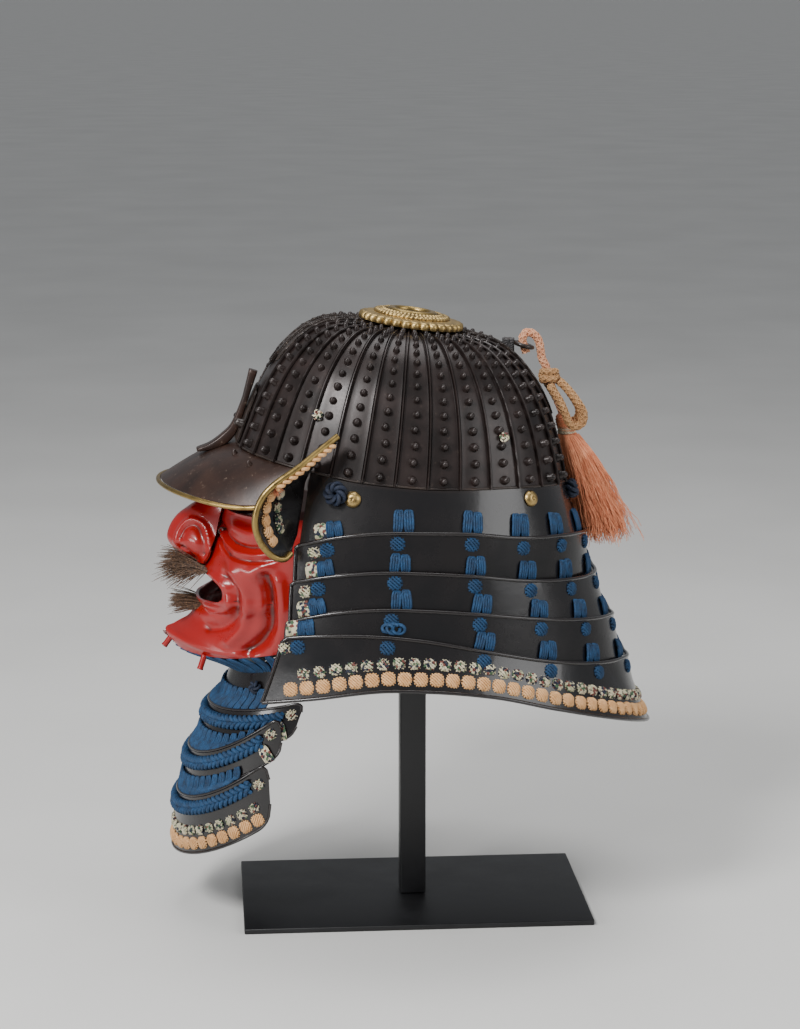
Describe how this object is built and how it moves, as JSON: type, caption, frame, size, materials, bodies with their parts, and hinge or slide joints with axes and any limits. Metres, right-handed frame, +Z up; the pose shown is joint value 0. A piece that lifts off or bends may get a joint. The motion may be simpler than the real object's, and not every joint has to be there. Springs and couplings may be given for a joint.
{
  "type": "kabuto samurai helmet with face mask on a display stand",
  "caption": "Ridged iron samurai helmet with laced neck guard, red half mask and throat guard, held up by a plain steel stand.",
  "frame": {"origin": "middle of the stand's base plate, on its underside", "axes": "+Z up, -Y towards where the wearer faces, +X to the wearer's left"},
  "size_m": [0.304, 0.359, 0.4443],
  "materials": {
    "iron_plates": "dark rust-blacked iron, satin",
    "russet_iron": "russet lacquered iron, satin",
    "black_lacquer": "glossy black lacquer over iron",
    "red_lacquer": "glossy red lacquer over iron",
    "gilt_brass": "gilded, worn satin",
    "indigo_silk": "braided silk",
    "peach_cord": "braided silk cord",
    "orange_silk": "frayed silk tassel",
    "black_steel": "satin black paint"
  },
  "bodies": {
    "root": {"bow_cord": "peach_cord", "bow_knot": "peach_cord", "bow_loop_left": "peach_cord", "bow_loop_right": "peach_cord", "bowl": "iron_plates", "crest_prong": "iron_plates", "crown_rest": "black_steel", "front_cloud_plate": "iron_plates", "front_strip": "iron_plates", "lace_a_left": "indigo_silk", "lace_a_right": "indigo_silk", "lace_b_left": "indigo_silk", "lace_b_right": "indigo_silk", "lace_c_left": "indigo_silk", "lace_c_right": "indigo_silk", "lace_d_left": "indigo_silk", "lace_d_right": "indigo_silk", "lace_e_left": "indigo_silk", "lace_e_right": "indigo_silk", "lace_front_left": "indigo_silk", "lace_front_right": "indigo_silk", "lace_rear": "indigo_silk", "mask": "red_lacquer", "mask_arm": "black_steel", "mask_drain": "red_lacquer", "mask_nose": "red_lacquer", "mask_peg_left": "red_lacquer", "mask_peg_right": "red_lacquer", "neck_lame_1": "black_lacquer", "neck_lame_2": "black_lacquer", "neck_lame_3": "black_lacquer", "neck_lame_4": "black_lacquer", "neck_lame_5": "black_lacquer", "peak": "russet_iron", "peak_rim": "gilt_brass", "rear_ring": "iron_plates", "rear_strip": "iron_plates", "ring_lug": "iron_plates", "stand_base": "black_steel", "stand_post": "black_steel", "stud_front_left": "gilt_brass", "stud_front_right": "gilt_brass", "stud_rear_left": "gilt_brass", "stud_rear_right": "gilt_brass", "tassel": "orange_silk", "tehen_beads": "gilt_brass", "tehen_collar": "gilt_brass", "tehen_petals": "gilt_brass", "throat_hanger": "indigo_silk", "throat_lacing_1": "indigo_silk", "throat_lacing_2": "indigo_silk", "throat_lacing_3": "indigo_silk", "throat_lame_a": "black_lacquer", "throat_lame_b": "black_lacquer", "throat_lame_c": "black_lacquer", "throat_lame_d": "black_lacquer", "turnback_left": "black_lacquer", "turnback_right": "black_lacquer", "turnback_rim_left": "gilt_brass", "turnback_rim_right": "gilt_brass"}
  },
  "joints": []
}
